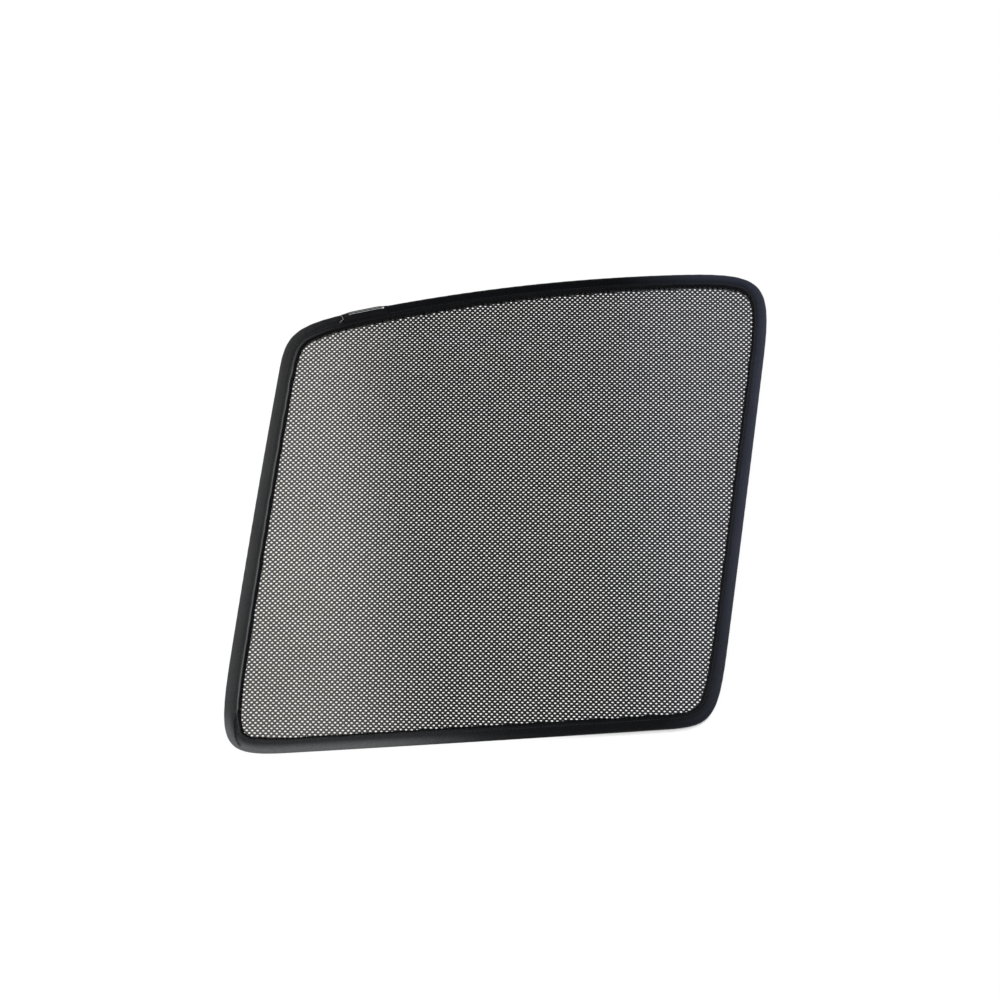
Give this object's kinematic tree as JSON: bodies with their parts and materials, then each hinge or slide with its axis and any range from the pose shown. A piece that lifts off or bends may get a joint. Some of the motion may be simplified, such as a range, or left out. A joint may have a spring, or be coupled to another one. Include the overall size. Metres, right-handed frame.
{
  "type": "car window sunshade",
  "caption": "Flat side-window sunshade: a dark net stretched in a wire loop with a folded black edge tape, held to a steel door frame by hidden magnets.",
  "frame": {"origin": "middle of the outline's box, on the flat face that rests on the door frame", "axes": "+X along the straight sill edge, +Y towards the bowed top edge, +Z out of the face that is seen from the cabin"},
  "size_m": [0.4679, 0.4162, 0.0074],
  "materials": {
    "tape": "black coated binding tape, finely ribbed across, with a soft sheen",
    "net": "dark grey knitted polyester net, matt with a faint thread sheen",
    "spring_wire": "drawn spring wire",
    "sleeve": "crimped sleeve, plain",
    "tag": "black woven satin tag, bare",
    "magnet": "nickel-plated bar magnet"
  },
  "bodies": {
    "root": {"edge_binding": "tape", "net_panel": "net", "frame_wire": "spring_wire", "wire_sleeve": "sleeve", "side_tag": "tag", "sill_magnet_1": "magnet", "sill_magnet_2": "magnet", "sill_magnet_3": "magnet", "right_magnet_1": "magnet", "right_magnet_2": "magnet", "top_magnet_1": "magnet", "top_magnet_2": "magnet", "top_magnet_3": "magnet", "left_magnet_1": "magnet", "left_magnet_2": "magnet"}
  },
  "joints": []
}
